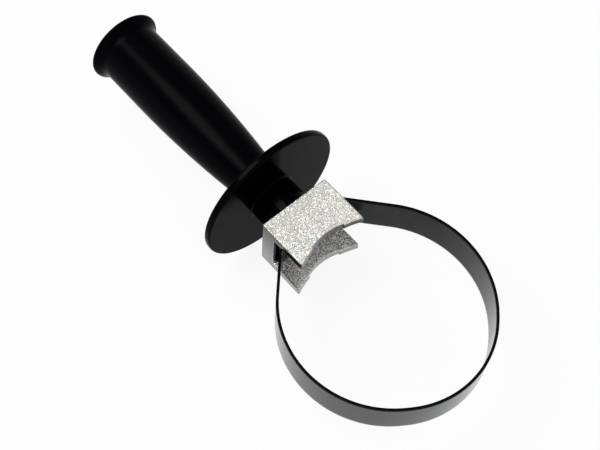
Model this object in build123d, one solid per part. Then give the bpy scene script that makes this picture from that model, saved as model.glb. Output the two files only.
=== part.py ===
from build123d import *
import os
from math import acos, atan2, cos, degrees, hypot, radians, sin, sqrt

# Side handle for a hand-held power tool, clamped round the tool's collar by a steel band.
# Millimetres. The origin is the centre of the clamped collar, +Z runs along the collar,
# and the handle points along -X. The band is shown fully drawn in.

# Collar and band
collar_radius = 49.3        # radius that the jaws and the far side of the band close on
band_width = 22.0           # height of the band along the collar
band_thickness = 1.5
band_shoulder_extra = 30.0  # how much larger the flat shoulders' radius is than the collar's
band_bend_radius = 2.5      # inside radius of the bends where the ends turn flat
band_end_corner = 3.0       # rounded corners of the flat ends
band_lap_gap = 0.05         # between the two overlapping ends

# Half of the band on the -Y side, whose flat end lies under the bolt's head
left_far_angle = 32.0       # where the far side stops following the collar, degrees from +X
left_shoulder_turn = 5.4    # extent of the flat shoulder, degrees
left_side_extra = 3.75      # how much larger the side's radius is than the collar's
left_entry = 17.55          # from the bolt's axis to the corner where the end turns flat
left_reach = 11.0           # how far the flat end runs past the bolt's axis

# Half of the band on the +Y side, whose flat end lies against the bracket's wall
right_far_angle = 41.0
right_shoulder_turn = 5.3
right_side_extra = 5.45
right_entry = 19.9
right_reach = 20.0

# Saddle bracket
bracket_width = 41.6        # across the jaws, along Y
bracket_depth = 29.8        # from the jaws' tips to the back face
bracket_wall = 9.0          # thickness of the back wall
plate_thickness = 5.0       # thickness of the upper and lower jaw plates
slot_clearance = 1.0        # between the plates and each edge of the band
relief_half_width = 10.5    # half the width of the relief between the two pads of a jaw
relief_radius = 32.0
relief_depth = 1.5          # how far the relief lies behind the collar's circle
bracket_back_round = 1.5    # upright corners of the back
bracket_edge_round = 0.6    # outer edges of the plates
bracket_inner_round = 0.6   # corners between the plates and the back wall

# Bolt that draws the band in
bolt_radius = 4.0           # M8
bolt_length = 35.0          # under the head
bolt_tip_chamfer = 1.0
head_clearance = 2.5        # between the head's edge and each plate
bolt_head_height = 3.8
bolt_head_rim = 1.0         # straight edge of the domed head
neck_width = 8.0            # square neck under the head
neck_length = 5.5
neck_clearance = 0.1        # each side, in the band's ends and in the bracket
thread_clearance = 0.05     # radial, bolt in the threaded insert

# Threaded insert, moulded into the handle
insert_radius = 7.0
insert_length = 26.0
insert_groove_depth = 1.0
insert_groove_width = 5.0
insert_chamfer = 0.5

# Handle moulding
boss_radius = 13.3          # neck that bears on the back of the bracket
boss_length = 16.5
boss_foot_round = 1.2
boss_edge_round = 0.5
guard_radius = 41.6
guard_thickness = 4.0
guard_rim_round = 1.2
grip_length = 119.9         # back of the guard to the flat edge of the pommel
grip_radius = 17.65
grip_straight = 35.0        # from the pommel's edge to where the grip starts to narrow
grip_narrowing = 590.0      # radius of the long curve down to the guard
grip_root_round = 4.5       # between the grip and the guard
pommel_radius = 21.3
pommel_land = 3.6           # width of the pommel's rim
pommel_slope = 4.0          # length over which the rim falls to the grip
pommel_rim_round = 2.0
pommel_fall_round = 1.5     # edge where the rim starts to fall
pommel_foot_round = 3.0     # hollow where the fall meets the grip
pommel_dome = 1.5           # rise of the end face at its centre
bolt_hollow_radius = 5.0    # hollow behind the insert for the end of the bolt
bolt_hollow_length = 5.0

# Places that follow from the sizes
half_width = bracket_width / 2
slot_half = band_width / 2 + slot_clearance
bracket_height = 2 * (slot_half + plate_thickness)
bolt_head_radius = slot_half - head_clearance
tip_x = -sqrt(collar_radius**2 - half_width**2)
back_x = tip_x - bracket_depth
wall_x = back_x + bracket_wall
guard_front_x = back_x - boss_length
guard_back_x = guard_front_x - guard_thickness
pommel_x = guard_back_x - grip_length
right_flat_x = wall_x + band_thickness
left_flat_x = right_flat_x + band_lap_gap + band_thickness
bolt_seat_x = left_flat_x
bolt_tip_x = bolt_seat_x - bolt_length
insert_end_x = back_x - insert_length


def polar(centre, radius, angle):
    """Point at an angle in degrees on a circle."""
    return centre[0] + radius * cos(radians(angle)), centre[1] + radius * sin(radians(angle))


def band_side(side, grow):
    """Edges of the band's half on one side, +1 for +Y, from the far point to the flat end.

    grow is the distance outwards from the band's inner face.
    """
    if side > 0:
        far_angle, shoulder_turn = right_far_angle, right_shoulder_turn
        side_radius = collar_radius + right_side_extra
        flat_x, entry, reach = right_flat_x, right_entry, right_reach
    else:
        far_angle, shoulder_turn = left_far_angle, left_shoulder_turn
        side_radius = collar_radius + left_side_extra
        flat_x, entry, reach = left_flat_x, left_entry, left_reach
    shoulder_radius = collar_radius + band_shoulder_extra
    shoulder_angle = far_angle + shoulder_turn
    shoulder_centre = polar((0, 0), -band_shoulder_extra, far_angle)
    side_centre = polar(shoulder_centre, shoulder_radius - side_radius, shoulder_angle)

    # The leg is the line from the corner of the bend that touches the side's circle.
    corner = (flat_x, entry)
    run = (corner[0] - side_centre[0], corner[1] - side_centre[1])
    touch_angle = degrees(atan2(run[1], run[0]) - acos(side_radius / hypot(*run)))
    touch = polar(side_centre, side_radius + grow, touch_angle)
    slope = radians(touch_angle)
    grown_corner = (flat_x - grow, entry + grow * (1 + cos(slope)) / sin(slope))
    end = (flat_x - grow, -reach)

    arcs = [
        CenterArc((0, 0), collar_radius + grow, 0, far_angle),
        CenterArc(shoulder_centre, shoulder_radius + grow, far_angle, shoulder_turn),
        CenterArc(side_centre, side_radius + grow, shoulder_angle, touch_angle - shoulder_angle),
    ]
    leg = FilletPolyline(touch, grown_corner, end, radius=band_bend_radius + grow)
    edges = arcs + list(leg.edges())
    if side < 0:
        edges = [edge.mirror(Plane.XZ) for edge in edges]
    return edges, (end[0], side * end[1])


def square_bar(width, low_x, high_x):
    """Square bar along X about the bolt's axis."""
    return Pos((low_x + high_x) / 2, 0, 0) * Box(high_x - low_x, width, width)


def turned(outline):
    """Solid turned about the X axis from the lines of its half outline."""
    edges = []
    for line in outline:
        edges += line.edges()
    return revolve(Face(Wire(edges)), Axis.X)


def clamp_band():
    edges = []
    ends = {}
    for grow in (0.0, band_thickness):
        for side in (1, -1):
            half, ends[side, grow] = band_side(side, grow)
            edges += half
    for side in (1, -1):
        edges.append(Line(ends[side, 0.0], ends[side, band_thickness]))
    strip = Face(Wire(edges))
    band = extrude(strip, band_width / 2, both=True)
    band = fillet(band.edges().filter_by(Axis.X), band_end_corner)
    hole = neck_width + 2 * neck_clearance
    return band - square_bar(hole, wall_x - band_thickness, left_flat_x + band_thickness)


def saddle_bracket():
    block = Pos(back_x, 0, 0) * Box(
        bracket_depth, bracket_width, bracket_height, align=(Align.MIN, Align.CENTER, Align.CENTER)
    )
    slot = Pos(wall_x, 0, 0) * Box(
        bracket_depth, 2 * bracket_width, 2 * slot_half, align=(Align.MIN, Align.CENTER, Align.CENTER)
    )
    bracket = block - slot
    inner = bracket.edges().filter_by(Axis.Y).filter_by_position(Axis.X, wall_x, wall_x)
    bracket = fillet(inner, bracket_inner_round)
    bracket = fillet(bracket.edges().filter_by(Axis.Z).group_by(Axis.X)[0], bracket_back_round)
    relief_x = relief_radius - collar_radius - relief_depth
    relief = Pos(relief_x, 0, 0) * Cylinder(relief_radius, bracket_height)
    relief &= Pos(relief_x - relief_radius, 0, 0) * Box(
        2 * relief_radius, 2 * relief_half_width, bracket_height
    )
    bracket -= Cylinder(collar_radius, bracket_height) + relief
    rims = bracket.edges().group_by(Axis.Z)
    bracket = fillet(rims[0] + rims[-1], bracket_edge_round)
    return bracket - square_bar(neck_width + 2 * neck_clearance, back_x, wall_x)


def clamp_bolt():
    rim_x = bolt_seat_x + bolt_head_rim
    crown_x = bolt_seat_x + bolt_head_height
    outline = [
        Polyline(
            (bolt_tip_x, 0),
            (bolt_tip_x, bolt_radius - bolt_tip_chamfer),
            (bolt_tip_x + bolt_tip_chamfer, bolt_radius),
            (bolt_seat_x, bolt_radius),
            (bolt_seat_x, bolt_head_radius),
            (rim_x, bolt_head_radius),
        ),
        TangentArc((crown_x, 0), (rim_x, bolt_head_radius), tangent=(0, 1)),
        Line((crown_x, 0), (bolt_tip_x, 0)),
    ]
    return turned(outline) + square_bar(neck_width, bolt_seat_x - neck_length, bolt_seat_x)


def insert_blank():
    """The insert without its bore, which is also the pocket in the moulding."""
    waist = insert_radius - insert_groove_depth
    middle_x = back_x - insert_length / 2
    outline = Polyline(
        (back_x, 0),
        (back_x, insert_radius),
        (middle_x + insert_groove_width / 2, insert_radius),
        (middle_x + insert_groove_width / 2, waist),
        (middle_x - insert_groove_width / 2, waist),
        (middle_x - insert_groove_width / 2, insert_radius),
        (insert_end_x + insert_chamfer, insert_radius),
        (insert_end_x, insert_radius - insert_chamfer),
        (insert_end_x, 0),
        close=True,
    )
    return turned([outline])


def rod(radius, low_x, high_x):
    """Cylinder along X about the bolt's axis."""
    return Pos((low_x + high_x) / 2, 0, 0) * Rot(0, 90, 0) * Cylinder(radius, high_x - low_x)


def threaded_insert():
    return insert_blank() - rod(bolt_radius + thread_clearance, insert_end_x, back_x)


def rings(solid, x, radius):
    """Round edges of a turned solid at a place along X."""
    found = []
    for edge in solid.edges().filter_by(GeomType.CIRCLE):
        if abs(edge.arc_center.X - x) < 0.01 and abs(edge.radius - radius) < 0.01:
            found.append(edge)
    return found


def handle_moulding():
    narrow_x = pommel_x + grip_straight
    fall_x = pommel_x + pommel_land
    foot_x = fall_x + pommel_slope
    drop = grip_narrowing - sqrt(grip_narrowing**2 - (guard_back_x - narrow_x) ** 2)
    neck_radius = grip_radius - drop
    outline = [
        Polyline(
            (back_x, 0),
            (back_x, boss_radius),
            (guard_front_x, boss_radius),
            (guard_front_x, guard_radius),
            (guard_back_x, guard_radius),
            (guard_back_x, neck_radius),
        ),
        TangentArc((narrow_x, grip_radius), (guard_back_x, neck_radius), tangent=(1, 0)),
        Polyline(
            (narrow_x, grip_radius),
            (foot_x, grip_radius),
            (fall_x, pommel_radius),
            (pommel_x, pommel_radius),
        ),
        TangentArc((pommel_x - pommel_dome, 0), (pommel_x, pommel_radius), tangent=(0, 1)),
        Line((pommel_x - pommel_dome, 0), (back_x, 0)),
    ]
    handle = turned(outline)
    rounds = [
        (back_x, boss_radius, boss_edge_round),
        (guard_front_x, boss_radius, boss_foot_round),
        (guard_front_x, guard_radius, guard_rim_round),
        (guard_back_x, guard_radius, guard_rim_round),
        (guard_back_x, neck_radius, grip_root_round),
        (foot_x, grip_radius, pommel_foot_round),
        (fall_x, pommel_radius, pommel_fall_round),
        (pommel_x, pommel_radius, pommel_rim_round),
    ]
    for x, radius, size in rounds:
        handle = fillet(rings(handle, x, radius), size)
    hollow = rod(bolt_hollow_radius, insert_end_x - bolt_hollow_length, insert_end_x)
    return handle - (insert_blank() + hollow)


parts = {
    "saddle_bracket": saddle_bracket(),
    "clamp_band": clamp_band(),
    "clamp_bolt": clamp_bolt(),
    "threaded_insert": threaded_insert(),
    "handle_moulding": handle_moulding(),
}

os.makedirs("parts", exist_ok=True)
for name, shape in parts.items():
    export_step(shape, f"parts/{name}.step")
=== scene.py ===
from math import acos, atan2, cos, degrees, hypot, pi, radians, sin, sqrt, tan

import bpy
import numpy as np
from bpy.props import FloatProperty, FloatVectorProperty, IntProperty, PointerProperty
from mathutils import Matrix, Vector


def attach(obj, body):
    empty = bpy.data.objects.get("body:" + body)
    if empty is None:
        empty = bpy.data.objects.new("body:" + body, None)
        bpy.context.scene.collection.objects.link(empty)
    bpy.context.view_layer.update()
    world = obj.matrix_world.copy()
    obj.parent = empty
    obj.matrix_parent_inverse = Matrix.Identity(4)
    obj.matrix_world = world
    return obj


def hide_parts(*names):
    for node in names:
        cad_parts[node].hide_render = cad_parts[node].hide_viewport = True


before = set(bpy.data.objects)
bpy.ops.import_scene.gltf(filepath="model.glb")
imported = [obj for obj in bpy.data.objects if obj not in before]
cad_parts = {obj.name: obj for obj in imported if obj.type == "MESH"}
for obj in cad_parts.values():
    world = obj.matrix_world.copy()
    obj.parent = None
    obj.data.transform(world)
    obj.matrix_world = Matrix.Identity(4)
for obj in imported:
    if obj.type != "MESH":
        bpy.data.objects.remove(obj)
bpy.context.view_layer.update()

bl_info = {
    "name": "Power tool side handle",
    "version": (1, 0, 0),
    "blender": (4, 5, 0),
    "location": "3D View > Sidebar > Side handle",
    "description": "Side handle with a moulded grip, cast bracket, steel band, bolt and insert",
    "category": "Object",
}

MM = 0.001
ARC_STEP = 9               # degrees between the points of a rounded corner
SAME_PLACE = 0.01 * MM
ROUND_POINTS = 7           # on each rounded corner of the bracket's section
RELIEF_STEP = 0.12 * MM    # half the width of the step between a jaw's pad and its relief


# Settings

def length(name, description, millimetres):
    """A size of the panel, given in millimetres and kept in metres."""
    return FloatProperty(
        name=name, description=description, default=millimetres * MM, min=0, precision=5,
        unit="LENGTH",
    )


def power(name, description, watts):
    """The power of a lamp."""
    return FloatProperty(name=name, description=description, default=watts, min=0, unit="POWER")


def angle(name, description, turn):
    """An angle of the panel, given in degrees."""
    return FloatProperty(name=name, description=description, default=radians(turn), unit="ROTATION")


def share(name, description, value):
    """A number of the panel between 0 and 1."""
    return FloatProperty(
        name=name, description=description, default=value, min=0, max=1, subtype="FACTOR"
    )


def colour(name, description, red, green, blue):
    """A colour of the panel, in linear values."""
    return FloatVectorProperty(
        name=name, description=description, default=(red, green, blue), min=0, max=1, size=3,
        subtype="COLOR",
    )


class HandleSettings(bpy.types.PropertyGroup):
    """Sizes and finish of the moulded handle."""
    boss_radius: length("Boss radius", "Neck that bears on the bracket", 13.3)
    boss_length: length("Boss length", "From the bracket to the guard", 16.5)
    boss_foot_round: length("Boss foot", "Hollow between boss and guard", 1.2)
    boss_edge_round: length("Boss edge", "Rounded edge at the bracket", 0.5)
    guard_radius: length("Guard radius", "Round guard", 41.6)
    guard_thickness: length("Guard thickness", "Thickness of the guard", 4.0)
    guard_rim_round: length("Guard rim", "Rounding of the guard's rim", 1.2)
    grip_length: length("Grip length", "Guard to the flat edge of the pommel", 119.9)
    grip_radius: length("Grip radius", "Thickest part of the grip", 17.65)
    grip_straight: length("Straight part", "From the pommel to where the grip narrows", 35.0)
    grip_narrowing: length("Narrowing", "Radius of the long curve down to the guard", 590.0)
    grip_root_round: length("Grip root", "Hollow between grip and guard", 4.5)
    pommel_radius: length("Pommel radius", "Rim at the end of the grip", 21.3)
    pommel_land: length("Pommel rim width", "Width of the pommel's rim", 1.6)
    pommel_slope: length("Pommel slope", "Length over which the rim falls to the grip", 4.0)
    pommel_rim_round: length("Pommel rim", "Rounding of the end's edge", 0.9)
    pommel_fall_round: length("Pommel shoulder", "Edge where the rim starts to fall", 1.5)
    pommel_foot_round: length("Pommel foot", "Hollow where the rim meets the grip", 6.0)
    pommel_dome: length("Pommel dome", "Rise of the end face", 1.5)
    parting_height: length("Parting line", "Height of the mould's parting line", 0.05)
    black: colour("Black", "Colour of the moulding", 0.0007, 0.0004, 0.0009)
    grip_roughness: share("Grip roughness", "Roughness of the grip's grained skin", 0.27)
    guard_roughness: share("Guard roughness", "Roughness of the smooth guard and boss", 0.13)
    gloss_level: share("Gloss", "Specular level of the moulding", 0.018)


class BracketSettings(bpy.types.PropertyGroup):
    """Sizes and finish of the cast saddle bracket."""
    width: length("Width", "Across the jaws", 41.6)
    height: length("Height", "Over both jaw plates", 34.0)
    depth: length("Depth", "From the jaws' tips to the back", 29.8)
    wall: length("Back wall", "Thickness of the back wall", 9.0)
    plate: length("Plate", "Thickness of each jaw plate", 5.0)
    relief_half_width: length("Relief half width", "Half the width between the pads", 10.5)
    relief_radius: length("Relief radius", "Curve of the relief", 32.0)
    relief_depth: length("Relief depth", "How far the relief lies behind the collar", 1.5)
    back_round: length("Back corners", "Upright corners of the back", 1.0)
    edge_round: length("Outer edges", "Edges of the plates", 0.9)
    inner_round: length("Inner corners", "Between plates and back wall", 0.6)
    fine_round: length("Fine edges", "Broken edges of the sawn faces", 1.0)
    cast_depth: length("Cast texture", "Depth of the cast surface's lumps", 0.1)
    cast_grain: length("Cast grain", "Size of the cast surface's lumps", 0.9)
    metal: colour("Metal", "Colour of the casting", 0.98, 0.932, 0.825)
    pits: colour("Pits", "Colour in the pits of the casting", 0.4, 0.4, 0.4)
    # Sawn-face colours low down and high up: painted shade that darkens the sawn faces toward the
    # top.
    cut_lit_foot: colour("Cut foot", "Colour of the sawn faces, low down", 0.32, 0.32, 0.32)
    cut_shaded_head: colour("Cut head", "Colour of the sawn faces, high up", 0.02, 0.02, 0.02)
    cast_metallic: share("Cast metallic", "How metallic the cast faces are", 0.3)
    cast_roughness: share("Cast roughness", "Roughness of the cast faces", 0.3)
    cut_roughness: share("Cut roughness", "Roughness of the sawn faces", 0.2)
    sparkle: share("Sparkle", "Tilt of the grains of the cast faces", 1.0)


class BandSettings(bpy.types.PropertyGroup):
    """Sizes and finish of the clamp band."""
    collar_radius: length("Collar radius", "Radius that the band closes on", 49.3)
    width: length("Width", "Width of the strip", 22.0)
    thickness: length("Thickness", "Thickness of the strip", 1.5)
    shoulder_extra: length("Shoulder radius", "Added to the collar's radius", 30.0)
    left_far_angle: angle("Left far side", "Where it stops following the collar", 32.0)
    left_shoulder_turn: angle("Left shoulder", "Extent of the flat shoulder", 5.4)
    left_side_extra: length("Left side radius", "Added to the collar's radius", 3.75)
    left_entry: length("Left entry", "From the bolt to the corner where the end turns", 17.55)
    left_reach: length("Left reach", "Flat end beyond the bolt", 11.0)
    right_far_angle: angle("Right far side", "Where it stops following the collar", 41.0)
    right_shoulder_turn: angle("Right shoulder", "Extent of the flat shoulder", 5.3)
    right_side_extra: length("Right side radius", "Added to the collar's radius", 5.45)
    right_entry: length("Right entry", "From the bolt to the corner where the end turns", 19.9)
    right_reach: length("Right reach", "Flat end beyond the bolt", 20.6)
    bend_radius: length("Bend", "Inside radius of the bends", 2.5)
    end_corner: length("End corners", "Rounded corners of the ends", 3.0)
    lap_gap: length("Lap gap", "Between the overlapping ends", 0.05)
    hole: length("Hole", "Side of the square holes", 8.2)
    edge_round: length("Edge", "Rolled edge of the strip", 0.18)
    steel: colour("Steel", "Colour of the dark strip", 0.006, 0.0064, 0.007)
    worn: colour("Worn steel", "Colour where the dark finish is thin", 0.011, 0.0114, 0.012)
    roughness: share("Roughness", "Roughness of the strip", 0.15)


class BoltSettings(bpy.types.PropertyGroup):
    """Sizes and finish of the bolt and the insert."""
    radius: length("Radius", "M8 thread", 4.0)
    length: length("Length", "Under the head", 35.0)
    tip_chamfer: length("Tip", "Chamfer of the tip", 1.0)
    pitch: length("Pitch", "Thread pitch", 1.25)
    thread_depth: length("Thread depth", "Depth of the thread", 0.6)
    thread_clearance: length("Thread clearance", "Bolt in the insert", 0.05)
    head_radius: length("Head radius", "Domed head", 9.5)
    head_height: length("Head height", "Domed head", 3.8)
    head_rim: length("Head rim", "Straight edge of the head", 1.0)
    neck_width: length("Neck width", "Square neck", 8.0)
    neck_length: length("Neck length", "Square neck", 5.5)
    insert_radius: length("Insert radius", "Bush in the handle", 7.0)
    insert_length: length("Insert length", "Bush in the handle", 26.0)
    groove_depth: length("Groove depth", "Groove round the bush", 1.0)
    groove_width: length("Groove width", "Groove round the bush", 5.0)
    insert_chamfer: length("Insert chamfer", "Inner end of the bush", 0.5)
    hollow_radius: length("Hollow radius", "Space for the tip in the handle", 5.0)
    hollow_length: length("Hollow length", "Space for the tip in the handle", 5.0)
    knurl_depth: length("Knurl depth", "Ridges on the bush", 0.22)
    knurls: IntProperty(name="Knurls", description="Ridges round the bush", default=24, min=3)
    zinc: colour("Zinc", "Colour of the plating", 0.62, 0.62, 0.6)
    roughness: share("Roughness", "Roughness of the plating", 0.3)


class StageSettings(bpy.types.PropertyGroup):
    """Floor, light and camera."""
    floor: colour("Floor", "Colour of the floor", 0.95, 0.95, 0.95)
    backdrop: colour("Backdrop", "Background as the camera sees it", 0.975, 0.975, 0.975)
    backdrop_share: share("Backdrop share", "Part of the floor's shade the camera misses", 0.92)
    mirror_share: share("Mirror share", "Part of the floor's shade reflections miss", 0.6)
    world_strength: FloatProperty(
        name="World", description="Strength of the even light", default=0.7, min=0
    )
    key_power: power("Key lamp", "Power of the key lamp", 6.5)
    top_power: power("Top lamp", "Power of the soft lamp overhead", 1.2)
    camera_distance: length("Camera distance", "From the camera to its target", 612.552)
    camera_azimuth: angle("Camera azimuth", "Turn of the camera about Z", 43.861)
    camera_elevation: angle("Camera elevation", "Height of the camera", 61.904)
    camera_roll: angle("Camera roll", "Turn of the camera about its own axis", 5.287)


class SideHandleSettings(bpy.types.PropertyGroup):
    """All settings of the side handle."""
    handle: PointerProperty(type=HandleSettings, name="Handle", description="Moulded handle")
    bracket: PointerProperty(type=BracketSettings, name="Bracket", description="Saddle bracket")
    band: PointerProperty(type=BandSettings, name="Band", description="Clamp band")
    bolt: PointerProperty(type=BoltSettings, name="Bolt", description="Bolt and insert")
    stage: PointerProperty(type=StageSettings, name="Stage", description="Floor, light, camera")


# Places that follow from the sizes

def tip_x(bracket):
    """Tips of the jaws: where the collar's circle crosses the bracket's sides."""
    collar = bpy.context.scene.side_handle.band.collar_radius
    return -sqrt(collar**2 - (bracket.width / 2) ** 2)


def back_x(bracket):
    return tip_x(bracket) - bracket.depth


def flat_x(settings, side):
    """Inner face of the band's flat end: +1 is the end against the wall, -1 the one on top."""
    band = settings.band
    right = back_x(settings.bracket) + settings.bracket.wall + band.thickness
    return right if side > 0 else right + band.lap_gap + band.thickness


# Surfaces

def distances(path):
    """How far along a path each of its points lies."""
    return np.concatenate([[0], np.cumsum(np.linalg.norm(np.diff(path, axis=0), axis=1))])


def arc(centre, radius, start, end, spacing):
    """Points of a circle from one angle to another: centre + radius (cos a, sin a)."""
    count = max(3, int(abs(end - start) * radius / spacing))
    turn = np.linspace(start, end, count + 1)
    return np.stack([centre[0] + radius * np.cos(turn), centre[1] + radius * np.sin(turn)], 1)


def rounded(corners, rounds):
    """An outline with its corners rounded.

    A corner of radius r that turns by t is cut back by r tan(t / 2) along both of its lines, and
    points on the arc that is tangent to both take its place.
    """
    corners = [np.asarray(corner, float) for corner in corners]
    pieces = [corners[:1]]
    for before, corner, after, radius in zip(corners, corners[1:], corners[2:], rounds[1:]):
        if radius == 0:
            pieces.append([corner])
            continue
        back = (before - corner) / np.linalg.norm(before - corner)
        ahead = (after - corner) / np.linalg.norm(after - corner)
        turn = pi - acos(np.clip(back @ ahead, -1, 1))
        cut = radius * tan(turn / 2)
        middle = (back + ahead) / np.linalg.norm(back + ahead)
        centre = corner + middle * radius / cos(turn / 2)
        start, end = corner + back * cut - centre, corner + ahead * cut - centre
        part = np.linspace(0, 1, max(4, round(degrees(turn) / ARC_STEP)) + 1)[:, None]
        bend = start * np.sin((1 - part) * turn) + end * np.sin(part * turn)
        pieces.append(centre + bend / sin(turn))
    return np.concatenate([*pieces, corners[-1:]])


def spread(outline, spacing, margin):
    """The outline with more points on its long lines.

    One lies a margin from each end of a line, and the others evenly between.
    """
    run = distances(outline)
    stations = [run]
    for low, high in zip(run, run[1:]):
        if high - low > 4 * margin:
            count = max(1, round((high - low - 2 * margin) / spacing))
            stations.append(np.linspace(low + margin, high - margin, count + 1))
    stations = np.unique(np.concatenate(stations))
    return np.stack([np.interp(stations, run, axis) for axis in outline.T], 1)


def turned(outline, turns):
    """Rings about the X axis: (x, r) goes to (x, r cos a, r sin a) for every angle a.

    The radius may be a column for every point, or a grid with a value for every point and angle.
    """
    x, radius = outline
    x = np.asarray(x)[:, None]
    radius = np.asarray(radius)
    if radius.ndim == 1:
        radius = radius[:, None]
    x, radius, turn = np.broadcast_arrays(x, radius, turns[None, :])
    return np.stack([x, radius * np.cos(turn), radius * np.sin(turn)], -1)


def grid_quads(index):
    """The quads between the neighbouring rows and columns of a grid of point numbers."""
    return np.stack([index[:-1, :-1], index[1:, :-1], index[1:, 1:], index[:-1, 1:]], -1)


def ring_faces(rows, columns, closed_rows=False):
    """Quads of a grid whose columns close on themselves; rows close too where asked."""
    index = np.arange(rows * columns).reshape(rows, columns)
    if closed_rows:
        index = np.concatenate([index, index[:1]])
    return grid_quads(np.concatenate([index, index[:, :1]], 1)).reshape(-1, 4)


def pole_faces(ring, pole, flip):
    """Triangles from a ring of points to one pole."""
    after = np.roll(ring, -1)
    triangle = np.stack([ring, after, np.full_like(ring, pole)], 1)
    return triangle[:, ::-1] if flip else triangle


def signed_volume(points, faces):
    """The sum of p0 . (p1 x p2) / 6 over the fans of all faces.

    It is below zero where faces point inwards.
    """
    total = 0.0
    for face in faces:
        first = points[face[:, 0]]
        for step in range(1, face.shape[1] - 1):
            cross = np.cross(points[face[:, step]], points[face[:, step + 1]])
            total += np.einsum("ij,ij", first, cross) / 6
    return total


def add_object(name, data):
    """A new object of the scene, at the origin."""
    made = bpy.data.objects.new(name, data)
    bpy.context.scene.collection.objects.link(made)
    return made


def solid(name, points, faces, flat_faces=(), attributes=None):
    """A closed mesh object from whole arrays of points and faces.

    Its faces are turned outwards, and points that no face uses are left out.
    """
    flat_faces = [np.asarray(face)[None, :] for face in flat_faces]
    groups = [*faces, *flat_faces]
    if signed_volume(points, groups) < 0:
        groups = [group[:, ::-1] for group in groups]
    used = np.unique(np.concatenate([group.reshape(-1) for group in groups]))
    mesh = bpy.data.meshes.new(name)
    corners = [np.searchsorted(used, group).tolist() for group in groups]
    mesh.from_pydata(points[used].tolist(), [], [face for group in corners for face in group])
    smooth = np.ones(len(mesh.polygons), bool)
    if flat_faces:
        smooth[-len(flat_faces):] = False
    mesh.polygons.foreach_set("use_smooth", smooth)
    for title, values in (attributes or {}).items():
        layer = mesh.attributes.new(title, "FLOAT", "POINT")
        layer.data.foreach_set("value", values[used].astype(np.float32))
    mesh.update()
    return add_object(name, mesh)


def turned_solid(name, rings, start, end):
    """A solid of rings about the X axis, closed at both ends by a point on the axis."""
    rows, columns = rings.shape[:2]
    count = rows * columns
    points = np.concatenate([rings.reshape(-1, 3), [[start, 0, 0], [end, 0, 0]]])
    faces = [
        ring_faces(rows, columns),
        pole_faces(np.arange(columns), count, False),
        pole_faces(np.arange(count - columns, count), count + 1, True),
    ]
    return solid(name, points, faces)


def lumps(points, size, seed, waves=48):
    """An even random surface between about -2 and 2.

    The sum of many plane waves cos(k . p + phase) with random directions, and wavelengths near
    size, divided by the square root of half their number.
    """
    draw = np.random.default_rng(seed)
    direction = draw.normal(size=(waves, 3))
    direction /= np.linalg.norm(direction, axis=1)[:, None]
    wavelength = size * draw.uniform(0.7, 1.6, waves)
    phase = draw.uniform(0, 2 * pi, waves)
    total = np.zeros(points.shape[:-1])
    for way, wave, start in zip(direction, wavelength, phase):
        total += np.cos(points @ (way * 2 * pi / wave) + start)
    return total / sqrt(waves / 2)


# Shaders

class Value:
    """A socket in arithmetic: each operator adds the Math node that it stands for."""

    def __init__(self, shader, socket):
        self.shader = shader
        self.socket = socket

    def math(self, operation, first, second):
        return self.shader.node("ShaderNodeMath", {"operation": operation}, {0: first, 1: second})

    def __add__(self, other):
        return self.math("ADD", self, other)

    def __radd__(self, other):
        return self.math("ADD", other, self)

    def __sub__(self, other):
        return self.math("SUBTRACT", self, other)

    def __rsub__(self, other):
        return self.math("SUBTRACT", other, self)

    def __mul__(self, other):
        return self.math("MULTIPLY", self, other)

    def __rmul__(self, other):
        return self.math("MULTIPLY", other, self)


class Shader:
    """A node tree that is written as expressions."""

    def __init__(self, tree):
        self.tree = tree
        tree.nodes.clear()

    def node(self, kind, settings=None, inputs=None, output=0):
        """A node of a kind: its settings first, then the values or links of its sockets."""
        made = self.tree.nodes.new(kind)
        for name, value in (settings or {}).items():
            setattr(made, name, value)
        for name, value in (inputs or {}).items():
            if isinstance(value, Value):
                self.tree.links.new(value.socket, made.inputs[name])
            else:
                made.inputs[name].default_value = value
        return Value(self, made.outputs[output]) if made.outputs else None

    def place(self):
        """Object coordinates."""
        return self.node("ShaderNodeTexCoord", output="Object")

    def axis(self, name, vector):
        """One coordinate of a vector."""
        return self.node("ShaderNodeSeparateXYZ", {}, {0: vector}, output=name)

    def attribute(self, name):
        """A number that the mesh has for each of its points."""
        return self.node("ShaderNodeAttribute", {"attribute_name": name}, output="Fac")

    def ray(self, kind):
        """1 where a ray of this kind arrives, and 0 for the others."""
        return self.node("ShaderNodeLightPath", output=f"Is {kind} Ray")

    def larger(self, first, second):
        """The larger of two values."""
        return self.node("ShaderNodeMath", {"operation": "MAXIMUM"}, {0: first, 1: second})

    def vector(self, operation, inputs):
        """A Vector Math node."""
        return self.node("ShaderNodeVectorMath", {"operation": operation}, inputs)

    def noise(self, size, detail=2.0, roughness=0.5, place=None):
        """Noise from 0 to 1 whose lumps are about size across."""
        return self.node(
            "ShaderNodeTexNoise", {},
            {"Vector": place or self.place(), "Scale": 1 / size, "Detail": detail,
             "Roughness": roughness},
        )

    def ramp(self, factor, low, high):
        """0 below low, 1 above high, smooth between."""
        return self.node(
            "ShaderNodeMapRange", {"interpolation_type": "SMOOTHSTEP"},
            {"Value": factor, "From Min": low, "From Max": high, "To Min": 0.0, "To Max": 1.0},
        )

    def mix(self, factor, first, second):
        """One colour over another."""
        return self.node(
            "ShaderNodeMix", {"data_type": "RGBA"}, {0: factor, 6: first, 7: second}, output=2
        )

    def bump(self, height, distance, normal=None):
        """Normals of a surface that rises by height times distance."""
        inputs = {"Height": height, "Distance": distance, "Strength": 1.0}
        if normal:
            inputs["Normal"] = normal
        return self.node("ShaderNodeBump", {}, inputs)

    def surface(self, inputs):
        """A Principled surface as the material's output."""
        shader = self.node("ShaderNodeBsdfPrincipled", {}, inputs)
        self.node("ShaderNodeOutputMaterial", {}, {"Surface": shader})


def new_material(name):
    material = bpy.data.materials.new(name)
    material.use_nodes = True
    return material, Shader(material.node_tree)


def opaque(tone):
    """Three channels with full alpha added."""
    return (*tone, 1.0)


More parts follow.
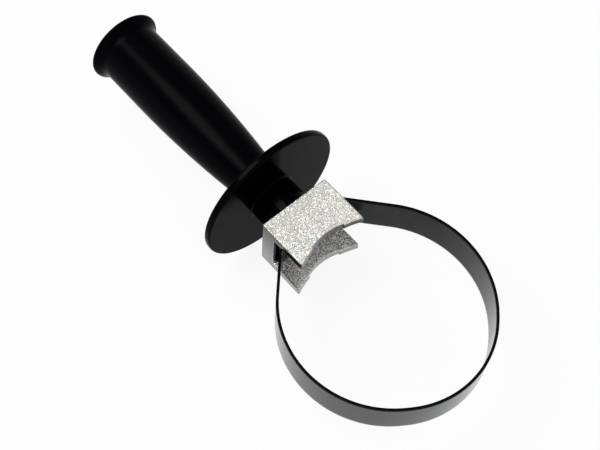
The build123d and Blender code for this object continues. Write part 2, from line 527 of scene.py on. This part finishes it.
def moulding_material(settings, guard_back):
    """Black nylon: fine grain on the grip, a smoother guard and boss, slow changes of gloss."""
    material, shader = new_material("black moulding")
    slow = shader.noise(14 * MM, 3.0)
    grain = shader.noise(0.35 * MM, 2.0)
    dull = shader.ramp(shader.noise(5 * MM, 4.0, 0.6), 0.5, 0.75)
    dull_tone = [channel * 1.8 for channel in settings.black]
    gripped = shader.ramp(shader.axis("X", shader.place()), guard_back + MM, guard_back - MM)
    more = settings.grip_roughness - settings.guard_roughness
    uneven = 0.06 * (slow - 0.5) + 0.04 * dull
    shader.surface({
        "Base Color": shader.mix(dull, opaque(settings.black), opaque(dull_tone)),
        "Roughness": settings.guard_roughness + gripped * more + uneven,
        "Specular IOR Level": settings.gloss_level,
        "Normal": shader.bump(grain * (0.2 + gripped) + 3 * slow, 0.01 * MM),
    })
    return material


def casting_material(settings):
    """Cast metal: grains that lean each its own way, a few of them bright, and plain sawn faces.

    The sawn faces carry painted shade: their colour darkens toward the top. The attribute cast is 1
    on the cast faces.
    """
    material, shader = new_material("cast bracket")
    grain_size, lump_size, streak_size = 0.55 * MM, 0.5 * MM, 2.5 * MM
    place = shader.place()
    cast = shader.attribute("cast")
    grains = shader.node(
        "ShaderNodeTexVoronoi", {}, {"Vector": place, "Scale": 1 / grain_size}, output="Color"
    )
    centred = shader.vector("SUBTRACT", {0: grains, 1: (0.5, 0.5, 0.5)})
    tilt = shader.vector("SCALE", {0: centred, "Scale": cast * settings.sparkle})
    normal = shader.node("ShaderNodeNewGeometry", output="Normal")
    tilted = shader.vector("NORMALIZE", {0: shader.vector("ADD", {0: normal, 1: tilt})})
    lump = shader.noise(lump_size, 2.0, 0.6, place)
    pit = shader.ramp(lump, 0.6, 0.4) * cast
    chance = shader.node("ShaderNodeSeparateColor", {}, {0: grains})
    spark = shader.ramp(chance, 0.84, 0.88) * cast
    skin = shader.mix(pit, opaque(settings.metal), opaque(settings.pits))
    skin = shader.mix(spark, skin, opaque((0.98, 0.98, 0.98)))
    streak = shader.noise(streak_size, 4.0, 0.6, place)
    height = shader.axis("Z", place) + (streak - 0.5) * 5 * MM
    # Painted shade: the sawn faces go from the light foot colour low down to the near-black head
    # colour high up.
    low = shader.ramp(height, 22 * MM, -22 * MM)
    sawn = shader.mix(low, opaque(settings.cut_shaded_head), opaque(settings.cut_lit_foot))
    rough = settings.cast_roughness - settings.cut_roughness
    uneven = 0.08 * (streak - 0.5) - 0.1 * spark
    shader.surface({
        "Base Color": shader.mix(cast, sawn, skin),
        "Metallic": 1 - (cast - spark) * (1 - settings.cast_metallic),
        "Roughness": settings.cut_roughness + cast * rough + uneven,
        "Normal": shader.bump(lump * cast, 0.12 * MM, tilted),
    })
    return material


def band_material(settings):
    """Dark spring steel: a thin black finish, slightly cloudy, with dull sheared ends.

    The attribute tip is 1 on the strip's two end faces.
    """
    material, shader = new_material("spring steel band")
    tip = shader.attribute("tip")
    cloud = shader.noise(9 * MM, 4.0, 0.55)
    fine = shader.noise(0.8 * MM, 3.0, 0.6)
    thin = shader.ramp(cloud + 0.3 * fine, 0.62, 0.85)
    shader.surface({
        "Base Color": shader.mix(thin, opaque(settings.steel), opaque(settings.worn)),
        "Metallic": 1 - tip,
        "Roughness": settings.roughness + 0.1 * (cloud - 0.5) + 0.06 * (fine - 0.5),
        "Specular IOR Level": 0.01,
        "Normal": shader.bump(fine + 4 * cloud, 0.01 * MM),
    })
    return material


def zinc_material(settings):
    """Bright zinc plating with faint spangle."""
    material, shader = new_material("zinc plated steel")
    spangle = shader.noise(1.5 * MM, 3.0)
    dark_tone = [channel * 0.75 for channel in settings.zinc]
    shader.surface({
        "Base Color": shader.mix(spangle, opaque(settings.zinc), opaque(dark_tone)),
        "Metallic": 1.0,
        "Roughness": settings.roughness + 0.15 * (spangle - 0.5),
        "Normal": shader.bump(spangle, 0.01 * MM),
    })
    return material


# Pieces

def finish_piece(piece, material, body, node):
    """Gives a piece its material and its body, and hides the node it replaces."""
    piece.data.materials.append(material)
    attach(piece, body)
    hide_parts(node)


def handle_outline(settings):
    """Half outline of the moulding as (x, r), from the end's centre to the bottom of the hollow.

    The grip is straight, then follows a long circle down to the guard. The end face is a shallow
    dome, a circle through its rim and its raised centre.
    """
    s = settings.handle
    bolt = settings.bolt
    front = back_x(settings.bracket)
    guard_front = front - s.boss_length
    guard_back = guard_front - s.guard_thickness
    end = guard_back - s.grip_length
    fall = end + s.pommel_land
    foot = fall + s.pommel_slope
    narrow = end + s.grip_straight
    dome_radius = (s.pommel_radius**2 + s.pommel_dome**2) / (2 * s.pommel_dome)
    dome_reach = 0.85    # of the rim's radius
    dome_r = np.linspace(0, dome_reach, 12) * s.pommel_radius
    dome_x = end - s.pommel_dome + dome_radius - np.sqrt(dome_radius**2 - dome_r**2)
    run = np.linspace(narrow, guard_back, 30)
    grip_r = s.grip_radius - s.grip_narrowing + np.sqrt(s.grip_narrowing**2 - (run - narrow) ** 2)
    keep = run < guard_back - 2 * s.grip_root_round
    waist = bolt.insert_radius - bolt.groove_depth
    deep = front - bolt.insert_length
    middle = front - bolt.insert_length / 2
    groove_start, groove_end = middle + bolt.groove_width / 2, middle - bolt.groove_width / 2
    outline = [((x, r), 0) for x, r in zip(dome_x, dome_r)]
    outline += [
        ((end, s.pommel_radius), s.pommel_rim_round),
        ((fall, s.pommel_radius), s.pommel_fall_round),
        ((foot, s.grip_radius), s.pommel_foot_round),
    ]
    outline += [((x, r), 0) for x, r in zip(run[keep], grip_r[keep])]
    outline += [
        ((guard_back, grip_r[-1]), s.grip_root_round),
        ((guard_back, s.guard_radius), s.guard_rim_round),
        ((guard_front, s.guard_radius), s.guard_rim_round),
        ((guard_front, s.boss_radius), s.boss_foot_round),
        ((front, s.boss_radius), s.boss_edge_round),
        ((front, bolt.insert_radius), 0),
        ((groove_start, bolt.insert_radius), 0),
        ((groove_start, waist), 0),
        ((groove_end, waist), 0),
        ((groove_end, bolt.insert_radius), 0),
        ((deep + bolt.insert_chamfer, bolt.insert_radius), 0),
        ((deep, bolt.insert_radius - bolt.insert_chamfer), 0),
        ((deep, bolt.hollow_radius), 0),
        ((deep - bolt.hollow_length, bolt.hollow_radius), 0),
        ((deep - bolt.hollow_length, 0), 0),
    ]
    corners, rounds = zip(*outline)
    spacing, margin = 2.2 * MM, 0.12 * MM
    return spread(rounded(corners, rounds), spacing, margin)


def add_handle(settings):
    """Turned moulding with a fine parting line.

    The line is a ridge in the radius, height exp(-(a / w)^2), with a the angle from +Y or -Y and
    w its width. It fades out below the radius of the insert and isn't on the walls of the pocket.
    """
    s = settings.handle
    width = radians(0.5)
    clear = radians(1.9)
    fade_length = 4 * MM
    near = radians(1) * np.array([-1.6, -1.0, -0.6, -0.3, 0, 0.3, 0.6, 1.0, 1.6])
    turns = np.linspace(0, 2 * pi, 180, endpoint=False)
    away = np.abs((turns + pi / 2) % pi - pi / 2)
    turns = np.unique(np.concatenate([turns[away > clear], near % (2 * pi), near + pi]))
    outline = handle_outline(settings)
    x, radius = outline[1:-1].T
    front = np.argmax(outline[1:-1, 0] > back_x(settings.bracket) - SAME_PLACE)
    outside = np.arange(len(x)) <= front
    away = (turns + pi / 2) % pi - pi / 2
    ridge = s.parting_height * np.exp(-((away / width) ** 2))
    fade = outside * np.clip((radius - settings.bolt.insert_radius) / fade_length, 0, 1)
    rings = turned((x, radius[:, None] + fade[:, None] * ridge), turns)
    piece = turned_solid("handle", rings, outline[0, 0], outline[-1, 0])
    guard_back = back_x(settings.bracket) - s.boss_length - s.guard_thickness
    material = moulding_material(s, guard_back)
    finish_piece(piece, material, "handle", "handle_moulding")


def round_inset(distance, radius):
    """How far a rounded edge lies inside its corner, at a distance from the end face.

    r - sqrt(r^2 - (r - d)^2) for d below r, and nothing beyond.
    """
    within = np.clip(radius - distance, 0, radius)
    return radius - np.sqrt(np.maximum(radius**2 - within**2, 0))


def bracket_columns(bracket, hole):
    """Places of the bracket's columns along Y.

    They lie closer where an edge is rounded, at the square hole and at the steps of the relief.
    """
    half = bracket.width / 2
    relief = bracket.relief_half_width
    inset = 1 - np.sin(np.linspace(0, pi / 2, ROUND_POINTS)[1:])
    side = np.concatenate([
        np.linspace(0, hole, 14),
        np.linspace(hole, relief - RELIEF_STEP, 19)[1:],
        relief + RELIEF_STEP * np.linspace(-0.6, 1, 5),
        np.linspace(relief + RELIEF_STEP, half - bracket.back_round, 32)[1:],
        half - bracket.back_round * inset,
        half - bracket.edge_round * inset,
        half - bracket.fine_round * inset[::2],
    ])
    side = np.unique(np.round(side, 8))
    return np.concatenate([-side[:0:-1], side])


def bracket_corners(settings, y, from_end):
    """The eight corners of the section at each y, as (x, z), from the top of the jaws round.

    The jaws follow the collar's circle on the pads and the relief's circle between them, with a
    smooth step from one to the other. All faces draw in where the edges of the ends are rounded.
    """
    s = settings.bracket
    collar = settings.band.collar_radius
    wide = np.abs(y)
    relief_centre = s.relief_radius - collar - s.relief_depth
    pad = -np.sqrt(collar**2 - y**2)
    relief = relief_centre - np.sqrt(s.relief_radius**2 - wide**2)
    on_pad = np.clip((wide - s.relief_half_width + RELIEF_STEP) / (2 * RELIEF_STEP), 0, 1)
    on_pad = on_pad * on_pad * (3 - 2 * on_pad)
    jaw = relief + (pad - relief) * on_pad - round_inset(from_end, s.fine_round)
    back = back_x(s) + round_inset(from_end, s.back_round)
    top = s.height / 2 - round_inset(from_end, s.edge_round)
    inner = s.height / 2 - s.plate + round_inset(from_end, s.fine_round)
    wall = back_x(s) + s.wall - round_inset(from_end, s.fine_round)
    corners = [
        (jaw, top), (back, top), (back, -top), (jaw, -top),
        (jaw, -inner), (wall, -inner), (wall, inner), (jaw, inner),
    ]
    return np.stack([np.stack(corner, 1) for corner in corners], 1)


def add_bracket(settings):
    """The casting as one closed grid: round its U-shaped section, and across along Y.

    At each y the section has eight right-angled corners, rounded by
    p(t) = c - d r (1 - sin t) + e r (1 - cos t), with d and e the lines before and after corner c.
    Cast faces are pushed in along their normals by a random depth, and the sawn faces, the jaws
    and both ends, stay plain.
    """
    s = settings.bracket
    hole = settings.band.hole / 2
    y = bracket_columns(s, hole)
    from_end = s.width / 2 - np.abs(y)
    corners = bracket_corners(settings, y, from_end)
    lines = np.array([[-1, 0], [0, -1], [1, 0], [0, 1], [-1, 0], [0, 1], [1, 0], [0, 1]], float)
    before = np.roll(lines, 1, axis=0)
    fine = s.fine_round
    rounds = [s.edge_round] * 4 + [fine, s.inner_round, s.inner_round, fine]
    outwards = [1, 1, 1, 1, 1, -1, -1, 1]
    line_points = [84, 0, 84, 8, 56, 0, 44, 8]
    cast_lines = [1, 1, 1, 0, 1, 1, 1, 0]
    hole_rows = 14
    beside_hole = np.linspace(0, 1, 26)[1:-1]
    quarter = np.linspace(0, pi / 2, ROUND_POINTS)[:, None]
    sine, cosine = np.sin(quarter), np.cos(quarter)
    section, normals, cast, hole_start = [], [], [], {}
    for i in range(8):
        bend = rounds[i] * ((1 - cosine) * lines[i] - (1 - sine) * before[i])
        section.append(corners[:, i, None, :] + bend)
        normals.append(outwards[i] * (sine * before[i] - cosine * lines[i]))
        blend = np.linspace(cast_lines[i - 1], cast_lines[i], ROUND_POINTS)
        cast.append(np.minimum(blend * 2, 1))
        start = corners[:, i] + rounds[i] * lines[i]
        end = corners[:, (i + 1) % 8] - rounds[(i + 1) % 8] * lines[i]
        if line_points[i]:
            part = np.linspace(0, 1, line_points[i] + 2)[1:-1]
            section.append(start[:, None] + part[:, None] * (end - start)[:, None])
        else:
            # The back face and the inner wall have rows at the edges of the square hole.
            levels = np.linspace(-hole, hole, hole_rows + 1) * lines[i, 1]
            low = start[:, None, 1] + beside_hole * (levels[0] - start[:, None, 1])
            high = levels[-1] + beside_hole * (end[:, None, 1] - levels[-1])
            middle = np.broadcast_to(levels, (len(y), len(levels)))
            z = np.concatenate([low, middle, high], 1)
            x = np.broadcast_to(start[:, :1], z.shape)
            hole_start[i] = sum(done.shape[1] for done in section) + low.shape[1]
            section.append(np.stack([x, z], -1))
        count = section[-1].shape[1]
        normals.append(np.tile([lines[i, 1], -lines[i, 0]], (count, 1)))
        cast.append(np.full(count, cast_lines[i], float))
    section = np.concatenate(section, 1)
    normals = np.concatenate(normals)
    cast = np.concatenate(cast)

    rows, columns = section.shape[:2]
    across = np.broadcast_to(y[:, None], (rows, columns))
    points = np.stack([section[..., 0], across, section[..., 1]], -1)
    cast = cast[None, :] * np.clip(from_end / (1.2 * s.edge_round), 0, 1)[:, None]
    rough = lumps(points, s.cast_grain, 5) + 0.6 * lumps(points, 0.5 * s.cast_grain, 6)
    depth = s.cast_depth * np.clip(0.55 + 0.33 * rough, 0, 2) * cast
    points[..., 0] -= depth * normals[:, 0]
    points[..., 2] -= depth * normals[:, 1]
    points = points.reshape(-1, 3)

    # The square hole goes through the wall: its quads go, and walls join the two openings.
    index = np.arange(rows * columns).reshape(rows, columns)
    quads = grid_quads(np.concatenate([index, index[:, :1]], 1))
    first = int(np.argmin(np.abs(y + hole)))
    last = int(np.argmin(np.abs(y - hole)))
    keep = np.ones(quads.shape[:2], bool)
    rims = []
    for i, low in hole_start.items():
        high = low + hole_rows
        keep[first:last, low:high] = False
        block = index[first:last + 1, low:high + 1]
        if i == 1:
            block = block[:, ::-1]
        sides = [block[0, :-1], block[:-1, -1], block[-1, :0:-1], block[:0:-1, 0]]
        rims.append(np.concatenate(sides))
    walls = np.stack([rims[0], np.roll(rims[0], -1), np.roll(rims[1], -1), rims[1]], 1)
    faces = [quads[keep], consistent(walls, quads[keep])]
    ends = [index[0], index[-1][::-1]]
    piece = solid("bracket", points, faces, ends, {"cast": cast.reshape(-1)})
    finish_piece(piece, casting_material(s), "bracket", "saddle_bracket")


def quad_edges(quads):
    """The four edges of every quad, as pairs of point numbers in the quad's own direction."""
    return np.concatenate([quads[:, [0, 1]], quads[:, [1, 2]], quads[:, [2, 3]], quads[:, [3, 0]]])


def consistent(walls, quads):
    """The walls, turned over if they run along an edge the same way as the quads beside them."""
    edges = {tuple(edge) for edge in quad_edges(quads).tolist()}
    return walls[:, ::-1] if tuple(walls[0, :2].tolist()) in edges else walls


def band_side(settings, side):
    """Inner face of the band on one side, from the far point to the flat end, as (x, y), y > 0.

    A circle about the collar's axis, a flatter one that leaves it without a kink, a tighter one
    in the same way, the line that touches it and runs to the bend, and the flat end.
    """
    s = settings.band
    title = "right" if side > 0 else "left"
    far, shoulder_turn, side_extra, entry, reach = (
        getattr(s, f"{title}_{size}")
        for size in ("far_angle", "shoulder_turn", "side_extra", "entry", "reach")
    )
    shoulder_end = far + shoulder_turn
    shoulder_radius = s.collar_radius + s.shoulder_extra
    side_radius = s.collar_radius + side_extra
    shoulder = -s.shoulder_extra * np.array([cos(far), sin(far)])
    turn = np.array([cos(shoulder_end), sin(shoulder_end)])
    centre = shoulder + (shoulder_radius - side_radius) * turn
    corner = np.array([flat_x(settings, side), entry])
    run = corner - centre
    touch = atan2(run[1], run[0]) - acos(side_radius / hypot(*run))
    step = 1.1 * MM
    curve = np.concatenate([
        arc((0, 0), s.collar_radius, 0, far, step),
        arc(shoulder, shoulder_radius, far, shoulder_end, step)[1:],
        arc(centre, side_radius, shoulder_end, touch, step)[1:],
    ])
    hole = s.hole / 2
    round_start = -reach + s.end_corner
    ends = round_start - s.end_corner * np.cos(np.linspace(pi / 2, 0, 8))
    flat = [(corner[0], y) for y in (hole, -hole, *ends)]
    corners = [*curve, corner, *flat]
    rounds = [0] * len(curve) + [s.bend_radius] + [0] * len(flat)
    spacing, margin = 1.4 * MM, 0.3 * MM
    return spread(rounded(corners, rounds), spacing, margin)


def add_band(settings):
    """The strip as a sheet of even thickness.

    The inner face is the path carried along Z, the outer face lies a thickness outwards along the
    path's normals, and walls join their edges. The half width is w - r + sqrt(r^2 - (r - d)^2)
    within r of an end, which rounds its corners.
    """
    s = settings.band
    right, left = band_side(settings, 1), band_side(settings, -1)
    path = np.concatenate([right[::-1], left[1:] * [1, -1]])
    ahead = np.diff(path, axis=0)
    ahead /= np.linalg.norm(ahead, axis=1)[:, None]
    tangent = np.concatenate([ahead[:1], ahead[1:] + ahead[:-1], ahead[-1:]])
    tangent /= np.linalg.norm(tangent, axis=1)[:, None]
    normal = np.stack([-tangent[:, 1], tangent[:, 0]], 1)
    if normal[np.argmax(path[:, 0]), 0] < 0:
        normal = -normal
    run = distances(path)
    from_end = np.minimum(run, run[-1] - run)
    half = s.width / 2 - round_inset(from_end, s.end_corner)
    hole = s.hole / 2
    level = np.concatenate([
        np.linspace(-s.width / 2, -hole, 6), np.linspace(-hole, hole, 5)[1:],
        np.linspace(hole, s.width / 2, 6)[1:],
    ])
    z = level[None, :] * (half / (s.width / 2))[:, None]
    rows, columns = z.shape
    inner = np.concatenate([np.broadcast_to(path[:, None], (rows, columns, 2)), z[..., None]], -1)
    outer = inner.copy()
    outer[..., :2] += s.thickness * normal[:, None]
    index = np.arange(rows * columns).reshape(rows, columns)
    middle = (path[1:] + path[:-1]) / 2
    flats = (middle[:, 0] < flat_x(settings, -1) + 0.1 * MM) & (np.abs(middle[:, 1]) < hole)
    between = np.abs((level[1:] + level[:-1]) / 2) < hole
    quads = grid_quads(index)[~(flats[:, None] & between[None, :])]
    edges = quad_edges(quads)
    count = rows * columns
    free = ~np.isin(edges[:, 0] * count + edges[:, 1], edges[:, 1] * count + edges[:, 0])
    rim = edges[free]
    walls = np.stack([rim[:, 1], rim[:, 0], rim[:, 0] + count, rim[:, 1] + count], 1)
    points = np.concatenate([inner.reshape(-1, 3), outer.reshape(-1, 3)])
    tip = np.tile(np.repeat(from_end < SAME_PLACE, columns), 2)
    piece = solid("band", points, [quads, quads[:, ::-1] + count, walls], (), {"tip": tip})
    edge = piece.modifiers.new("rolled edge", "BEVEL")
    edge.width = s.edge_round
    edge.segments = 2
    edge.limit_method = "ANGLE"
    edge.angle_limit = radians(50)
    finish_piece(piece, band_material(s), "band", "clamp_band")


def thread(x, turns, settings, crest):
    """Radius of a right-hand thread: a triangle wave in x / pitch - a / 2 pi, crest to root.

    The wave is steepened and cut off, so that crest and root are a little flat.
    """
    steepness, root = 1.25, 0.12
    phase = (x[:, None] / settings.pitch - turns[None, :] / (2 * pi)) % 1
    height = np.clip(steepness * (1 - np.abs(2 * phase - 1)) - root, 0, 1)
    return crest - settings.thread_depth * (1 - height)


def add_bolt(settings):
    """Domed bolt as one polar surface r(x, a).

    The head is a sphere's cap. The square neck is half the width divided by the p-norm of
    (cos a, sin a), which rounds its corners a little. The shank carries the thread.
    """
    s = settings.bolt
    seat = flat_x(settings, -1)
    turns = np.linspace(0, 2 * pi, 64, endpoint=False)
    rise = s.head_height - s.head_rim
    dome = (s.head_radius**2 + rise**2) / (2 * rise)
    head_r = s.head_radius * np.sin(np.linspace(0.03, 1, 16) * pi / 2)
    head_x = seat + s.head_height - dome + np.sqrt(dome**2 - head_r**2)
    rim = 0.2 * MM
    exponent = 16
    head_x = [*head_x, seat + s.head_rim / 2, seat + rim, seat, seat]
    head_r = [*head_r, s.head_radius, s.head_radius, s.head_radius - rim, 0.7 * s.head_radius]
    head = np.array(head_r)[:, None] * np.ones_like(turns)
    norm = np.abs(np.cos(turns)) ** exponent + np.abs(np.sin(turns)) ** exponent
    square = s.neck_width / 2 / norm ** (1 / exponent)
    neck_end = seat - s.neck_length
    neck_x = [seat, seat - s.neck_length / 2, neck_end + rim, neck_end]
    neck = [square, square, square, square * 0.94]
    tip = seat - s.length
    shank_x = np.arange(neck_end - 0.3 * MM, tip, -s.pitch / 7)
    shank_x = np.append(shank_x[shank_x > tip + 0.05 * MM], tip)
    cone = s.radius - s.tip_chamfer + (shank_x - tip)
    shank = np.minimum(thread(shank_x, turns, s, s.radius), cone[:, None])
    x = np.concatenate([head_x, neck_x, shank_x])
    rings = turned((x, np.concatenate([head, neck, shank])), turns)
    piece = turned_solid("bolt", rings, seat + s.head_height, tip)
    finish_piece(piece, zinc_material(s), "band", "clamp_bolt")


def add_insert(settings):
    """Knurled bush with its thread, as one closed loop turned about the bolt's axis.

    The knurls lower the outer radius by depth (1 + cos(n a)) / 2, away from the groove.
    """
    s = settings.bolt
    front = back_x(settings.bracket)
    deep = front - s.insert_length
    middle = front - s.insert_length / 2
    turns = np.linspace(0, 2 * pi, 8 * s.knurls, endpoint=False)
    waist = s.insert_radius - s.groove_depth
    groove_start, groove_end = middle + s.groove_width / 2, middle - s.groove_width / 2
    mouth_chamfer = 0.2 * MM
    spacing, margin = 2.5 * MM, 0.1 * MM
    outer = spread(np.array([
        (front, s.insert_radius - mouth_chamfer),
        (front - mouth_chamfer, s.insert_radius),
        (groove_start, s.insert_radius),
        (groove_start, waist),
        (groove_end, waist),
        (groove_end, s.insert_radius),
        (deep + s.insert_chamfer, s.insert_radius),
        (deep, s.insert_radius - s.insert_chamfer),
    ]), spacing, margin)
    knurled = (outer[:, 1] > s.insert_radius - SAME_PLACE)[:, None]
    ridges = s.knurl_depth * (1 + np.cos(s.knurls * turns)) / 2
    bore_x = np.linspace(deep, front, 125)
    crest = s.radius + s.thread_clearance
    mouth = crest - np.minimum(front - bore_x, bore_x - deep)
    bore = np.maximum(thread(bore_x, turns, s, crest), mouth[:, None])
    x = np.concatenate([outer[:, 0], bore_x])
    radius = np.concatenate([outer[:, 1:] - knurled * ridges, bore])
    rings = turned((x, radius), turns)
    faces = [ring_faces(len(x), len(turns), closed_rows=True)]
    piece = solid("insert", rings.reshape(-1, 3), faces)
    finish_piece(piece, zinc_material(s), "handle", "threaded_insert")


# Stage

def add_floor(settings):
    """A round floor under the guard's rim: a polar grid with rings at growing distances.

    Camera, reflections and glass see the even backdrop with part of the shade of the floor.
    """
    s = settings.stage
    level = -settings.handle.guard_radius
    radius = np.concatenate([[0.001], np.geomspace(0.1, 12, 24)])
    turns = np.linspace(0, 2 * pi, 96, endpoint=False)
    grid = np.stack(np.broadcast_arrays(
        radius[:, None] * np.cos(turns), radius[:, None] * np.sin(turns), np.full((1, 1), level)
    ), -1)
    rows, columns = grid.shape[:2]
    mesh = bpy.data.meshes.new("floor")
    points = np.concatenate([grid.reshape(-1, 3), [[0, 0, level]]])
    quads = ring_faces(rows, columns)
    middle = pole_faces(np.arange(columns), len(points) - 1, False)
    mesh.from_pydata(points.tolist(), [], [*quads.tolist(), *middle.tolist()])
    floor = add_object("floor", mesh)
    material, shader = new_material("floor")
    seen = shader.larger(shader.ray("Camera"), shader.ray("Transmission")) * s.backdrop_share
    mirrored = shader.ray("Glossy") * s.mirror_share
    shade = shader.node("ShaderNodeBsdfDiffuse", {}, {"Color": opaque(s.floor)})
    bright = shader.node("ShaderNodeEmission", {}, {"Color": opaque(s.backdrop), "Strength": 1.0})
    both = shader.node(
        "ShaderNodeMixShader", {}, {0: shader.larger(seen, mirrored), 1: shade, 2: bright}
    )
    shader.node("ShaderNodeOutputMaterial", {}, {"Surface": both})
    mesh.materials.append(material)


def add_world(settings):
    """Even light, dimmer overhead in reflections, and the backdrop's white behind all."""
    s = settings.stage
    world = bpy.data.worlds.new("studio")
    bpy.context.scene.world = world
    world.use_nodes = True
    shader = Shader(world.node_tree)
    way = shader.node("ShaderNodeTexCoord", output="Generated")
    overhead = shader.ramp(shader.axis("Z", way), 0.1, 0.7)
    mirrored = shader.mix(overhead, opaque(s.backdrop), opaque((0.3, 0.3, 0.31)))
    even = opaque(s.world_strength * tint for tint in (0.96, 1, 1.08))
    tone = shader.mix(shader.ray("Glossy"), even, mirrored)
    tone = shader.mix(shader.ray("Camera"), tone, opaque(s.backdrop))
    light = shader.node("ShaderNodeBackground", {}, {"Color": tone, "Strength": 1.0})
    shader.node("ShaderNodeOutputWorld", {}, {"Surface": light})


def add_lamp(name, watts, size, direction, distance):
    """A soft rectangular lamp of a size, width first, that looks at the middle of the handle."""
    target = Vector((-90 * MM, 0, 0))
    lamp = bpy.data.lights.new(name, "AREA")
    lamp.shape = "RECTANGLE"
    lamp.size, lamp.size_y = size
    lamp.energy = watts
    lamp.color = (1.0, 0.98, 0.94)
    holder = add_object(name, lamp)
    way = Vector(direction).normalized()
    holder.location = target + way * distance
    holder.rotation_euler = way.to_track_quat("Z", "Y").to_euler()


def add_camera(settings):
    """The camera looks at a point between the grip and the band, from above the clamp's side."""
    s = settings.stage
    target = Vector((-68.641, 0.049, 0)) * MM
    azimuth, elevation = s.camera_azimuth, s.camera_elevation
    back = Vector((sin(azimuth) * cos(elevation), -cos(azimuth) * cos(elevation), sin(elevation)))
    right = Vector((cos(azimuth), sin(azimuth), 0))
    up = back.cross(right)
    turned_right = right * cos(s.camera_roll) + up * sin(s.camera_roll)
    turned_up = up * cos(s.camera_roll) - right * sin(s.camera_roll)
    place = Matrix((turned_right, turned_up, back)).transposed().to_4x4()
    place.translation = target + back * s.camera_distance
    lens = bpy.data.cameras.new("camera")
    lens.lens = 72.096
    lens.clip_end = 50
    camera = add_object("camera", lens)
    camera.matrix_world = place
    bpy.context.scene.camera = camera


# Operators and panel

class OBJECT_OT_side_handle_moulding(bpy.types.Operator):
    """Add the moulded handle"""
    bl_idname = "object.side_handle_moulding"
    bl_label = "Add moulded handle"

    def execute(self, context):
        add_handle(context.scene.side_handle)
        return {"FINISHED"}


class OBJECT_OT_side_handle_bracket(bpy.types.Operator):
    """Add the cast saddle bracket"""
    bl_idname = "object.side_handle_bracket"
    bl_label = "Add saddle bracket"

    def execute(self, context):
        add_bracket(context.scene.side_handle)
        return {"FINISHED"}


class OBJECT_OT_side_handle_band(bpy.types.Operator):
    """Add the clamp band"""
    bl_idname = "object.side_handle_band"
    bl_label = "Add clamp band"

    def execute(self, context):
        add_band(context.scene.side_handle)
        return {"FINISHED"}


class OBJECT_OT_side_handle_bolt(bpy.types.Operator):
    """Add the bolt and the threaded insert"""
    bl_idname = "object.side_handle_bolt"
    bl_label = "Add bolt and insert"

    def execute(self, context):
        add_bolt(context.scene.side_handle)
        add_insert(context.scene.side_handle)
        return {"FINISHED"}


class OBJECT_OT_side_handle_stage(bpy.types.Operator):
    """Add the floor, the light and the camera"""
    bl_idname = "object.side_handle_stage"
    bl_label = "Add stage"

    def execute(self, context):
        settings = context.scene.side_handle
        stage = settings.stage
        context.scene.view_settings.view_transform = "Standard"
        add_floor(settings)
        add_world(settings)
        add_lamp("key lamp", stage.key_power, (0.6, 0.45), (-0.33, -0.34, 0.88), 1.0)
        add_lamp("top lamp", stage.top_power, (1.0, 1.0), (0.1, 0.2, 1.0), 1.2)
        add_camera(settings)
        return {"FINISHED"}


class VIEW3D_PT_side_handle(bpy.types.Panel):
    """Lists the side handle's pieces"""
    bl_idname = "VIEW3D_PT_side_handle"
    bl_label = "Side handle"
    bl_space_type = "VIEW_3D"
    bl_region_type = "UI"
    bl_category = "Side handle"

    def draw(self, context):
        settings = context.scene.side_handle
        for title, operator in PIECES.items():
            box = self.layout.box()
            box.operator(operator)
            group = getattr(settings, title)
            for name in group.bl_rna.properties.keys():
                if name not in ("rna_type", "name"):
                    box.prop(group, name)


PIECES = {
    "handle": "object.side_handle_moulding",
    "bracket": "object.side_handle_bracket",
    "band": "object.side_handle_band",
    "bolt": "object.side_handle_bolt",
    "stage": "object.side_handle_stage",
}

CLASSES = (
    HandleSettings,
    BracketSettings,
    BandSettings,
    BoltSettings,
    StageSettings,
    SideHandleSettings,
    OBJECT_OT_side_handle_moulding,
    OBJECT_OT_side_handle_bracket,
    OBJECT_OT_side_handle_band,
    OBJECT_OT_side_handle_bolt,
    OBJECT_OT_side_handle_stage,
    VIEW3D_PT_side_handle,
)


def register():
    for item in CLASSES:
        bpy.utils.register_class(item)
    bpy.types.Scene.side_handle = PointerProperty(
        type=SideHandleSettings, name="Side handle", description="Settings of the side handle"
    )


def unregister():
    del bpy.types.Scene.side_handle
    for item in reversed(CLASSES):
        bpy.utils.unregister_class(item)


def main():
    register()
    bpy.ops.object.side_handle_moulding()
    bpy.ops.object.side_handle_bracket()
    bpy.ops.object.side_handle_band()
    bpy.ops.object.side_handle_bolt()
    bpy.ops.object.side_handle_stage()


if __name__ == "__main__":
    main()
